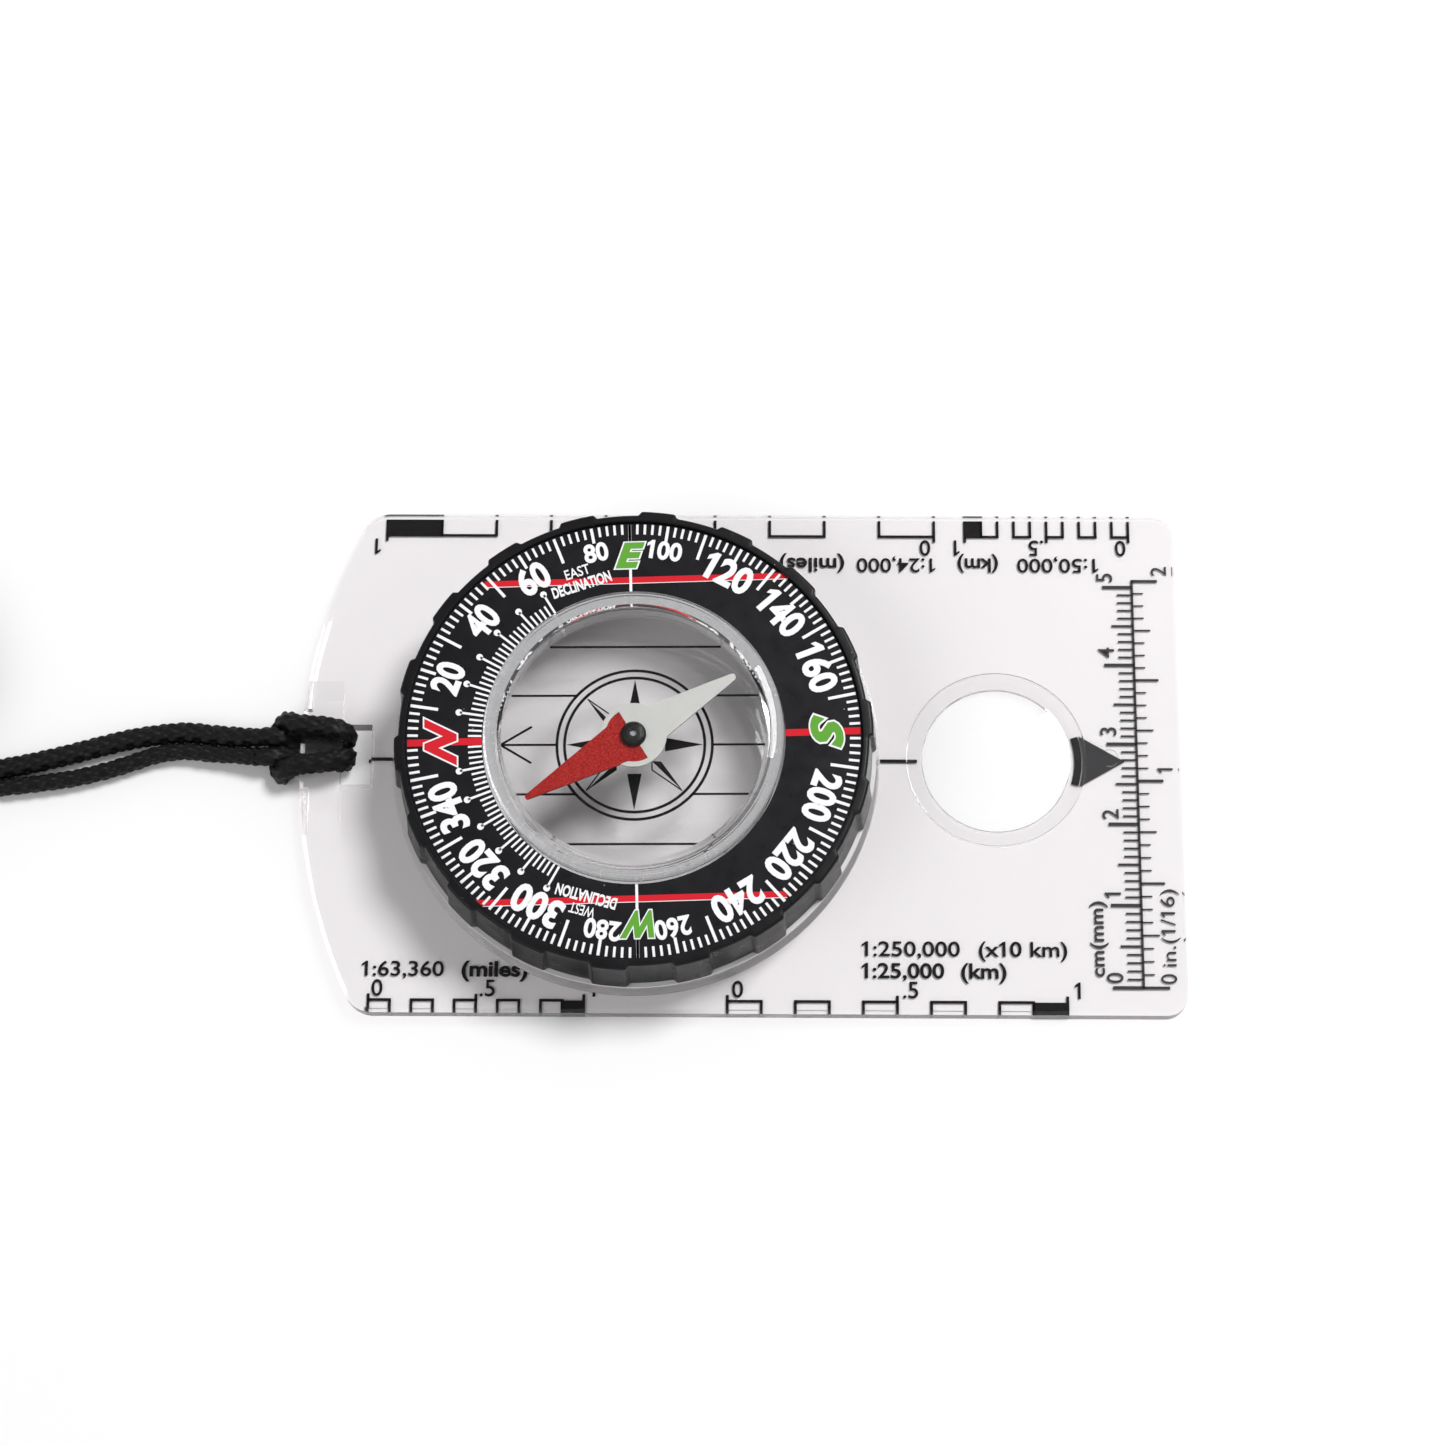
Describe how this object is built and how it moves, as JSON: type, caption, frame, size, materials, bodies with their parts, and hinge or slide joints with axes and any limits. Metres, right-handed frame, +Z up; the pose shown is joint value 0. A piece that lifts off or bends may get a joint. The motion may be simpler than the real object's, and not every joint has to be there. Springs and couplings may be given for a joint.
{
  "type": "baseplate compass",
  "caption": "Clear baseplate compass with a turning dial, liquid capsule, magnetised needle, magnifier, map scales and a cord lanyard.",
  "frame": {"origin": "middle of the baseplate's flat underside", "axes": "+X is the direction of travel, from the lanyard end to the magnifier end; +Z is up, out of the dial's face"},
  "size_m": [0.1761, 0.0624, 0.0139],
  "materials": {
    "clear_plate": "clear moulded acrylic, polished",
    "clear_lens": "clear acrylic lens, polished",
    "clear_capsule": "clear moulded acrylic, polished",
    "slip_nylon": "natural nylon",
    "spring_steel": "bright spring steel",
    "bezel_black": "satin black moulded plastic",
    "scale_black": "charcoal black, satin, printed",
    "gasket_silicone": "clear silicone rubber",
    "plug_nylon": "natural nylon",
    "pivot_brass": "turned",
    "pivot_steel": "polished point",
    "needle_red": "red, semi-matte",
    "needle_white": "luminous white, slightly translucent",
    "magnet_steel": "dark magnet steel",
    "jewel_glass": "polished",
    "hub_black": "black, semi-gloss",
    "cord_nylon": "black braided nylon"
  },
  "bodies": {
    "plate": {"baseplate": "clear_plate", "magnifier_lens": "clear_lens", "slip_ring": "slip_nylon", "retaining_ring": "spring_steel", "lanyard_hitch": "cord_nylon", "lanyard_strand_a": "cord_nylon", "lanyard_strand_b": "cord_nylon", "lanyard_coil": "cord_nylon", "lanyard_knot": "cord_nylon"},
    "dial": {"bezel_ring": "bezel_black", "scale_ring": "scale_black", "capsule_base": "clear_capsule", "capsule_gasket": "gasket_silicone", "capsule_cover": "clear_capsule", "filler_plug": "plug_nylon", "pivot_post": "pivot_brass", "pivot_pin": "pivot_steel"},
    "needle": {"needle_north": "needle_red", "needle_south": "needle_white", "needle_magnet": "magnet_steel", "jewel_cup": "jewel_glass", "hub_cap": "hub_black"}
  },
  "joints": [
    {"name": "dial_turn", "type": "hinge", "parent": "plate", "child": "dial", "pos_m": [-0.0124, 0, 0.0052], "axis": [0, 0, 1], "continuous": true},
    {"name": "needle_swing", "type": "hinge", "parent": "dial", "child": "needle", "pos_m": [-0.0124, 0, 0.0115], "axis": [0, 0, 1], "continuous": true}
  ]
}
